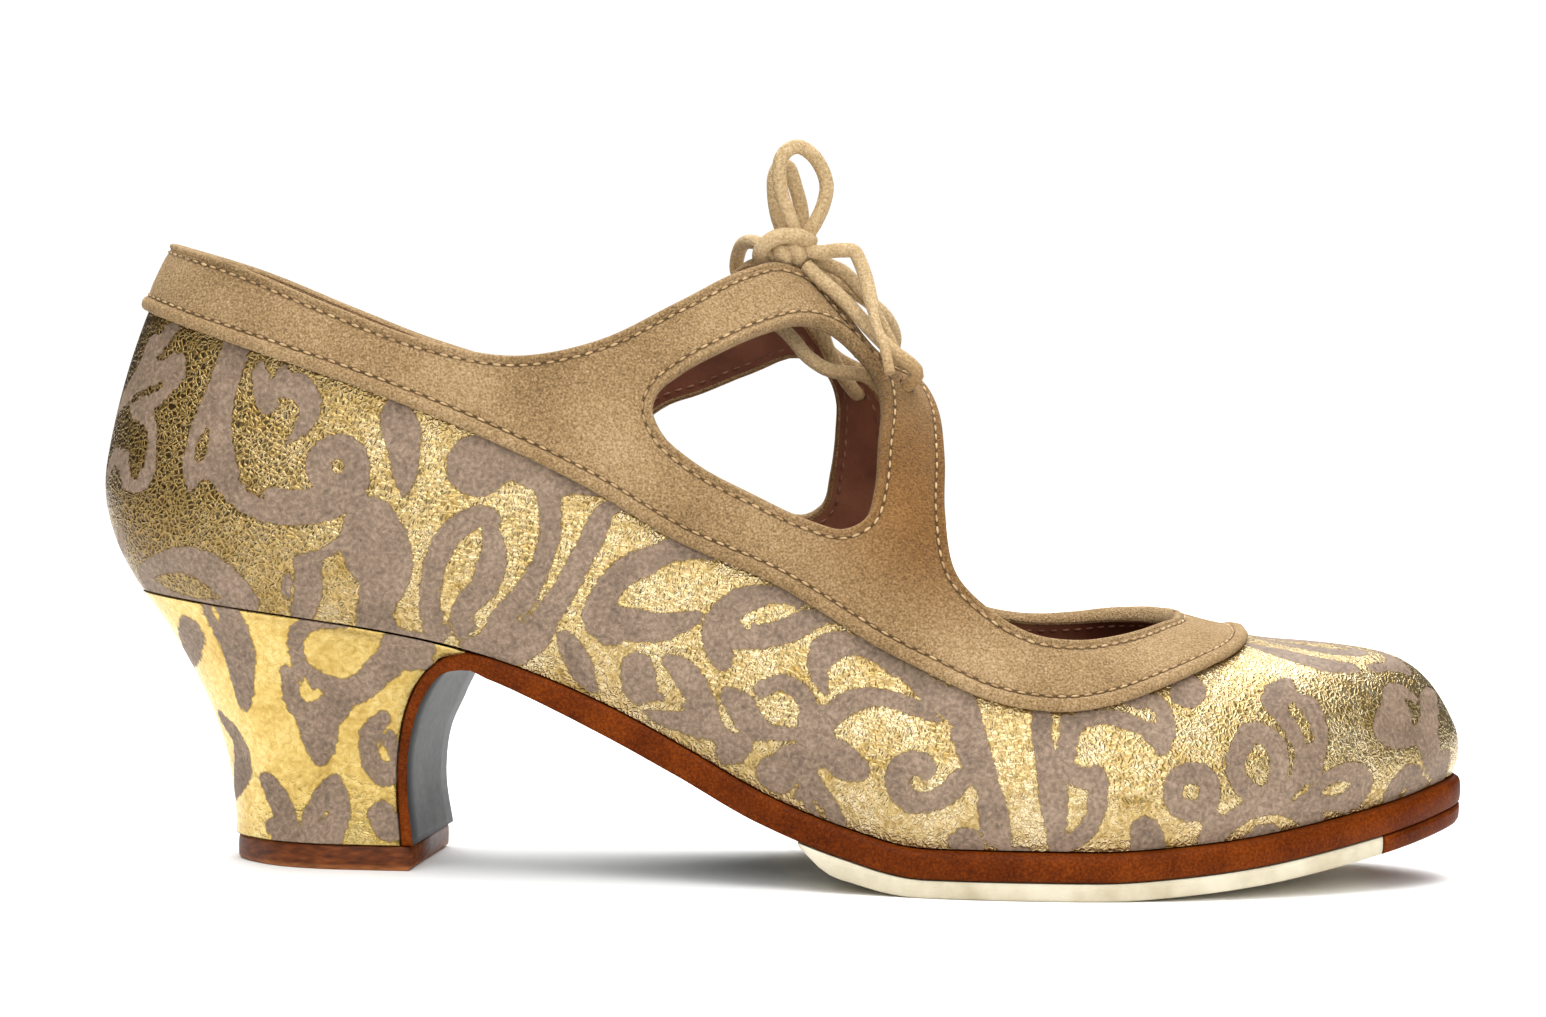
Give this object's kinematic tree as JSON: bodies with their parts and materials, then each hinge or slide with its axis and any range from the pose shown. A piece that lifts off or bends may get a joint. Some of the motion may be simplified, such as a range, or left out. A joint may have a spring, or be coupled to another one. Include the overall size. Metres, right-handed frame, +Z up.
{
  "type": "flamenco shoe",
  "caption": "Flamenco dance shoe for a right foot: covered heel, side cut-outs, suede band round the collar and a lace tied in a bow over the instep.",
  "frame": {"origin": "on the floor under the middle of the shoe's length and width, the bow left out", "axes": "+X to the toe, +Y to the inner side of the foot, +Z up"},
  "size_m": [0.2512, 0.0842, 0.134],
  "materials": {
    "foil_leather": "crackled gold foil with a raised taupe suede damask",
    "suede": "tan suede, short nap",
    "insole_leather": "dark brown, smooth",
    "sole_leather": "reddish brown, polished edge",
    "rubber": "cream, matt",
    "toe_leather": "reddish brown, polished edge",
    "heel_cover": "crackled gold foil with a raised taupe suede damask",
    "lift_leather": "dark reddish brown, satin",
    "lace_suede": "tan suede cord"
  },
  "bodies": {
    "root": {"upper": "foil_leather", "suede_overlay": "suede", "insole": "insole_leather", "outsole": "sole_leather", "half_sole": "rubber", "toe_piece": "toe_leather", "heel_block": "heel_cover", "heel_lift": "lift_leather", "lace_outer_half": "lace_suede", "lace_inner_half": "lace_suede", "lace_knot": "lace_suede", "lace_loop_front": "lace_suede", "lace_loop_back": "lace_suede", "lace_end_near": "lace_suede", "lace_end_far": "lace_suede"}
  },
  "joints": []
}
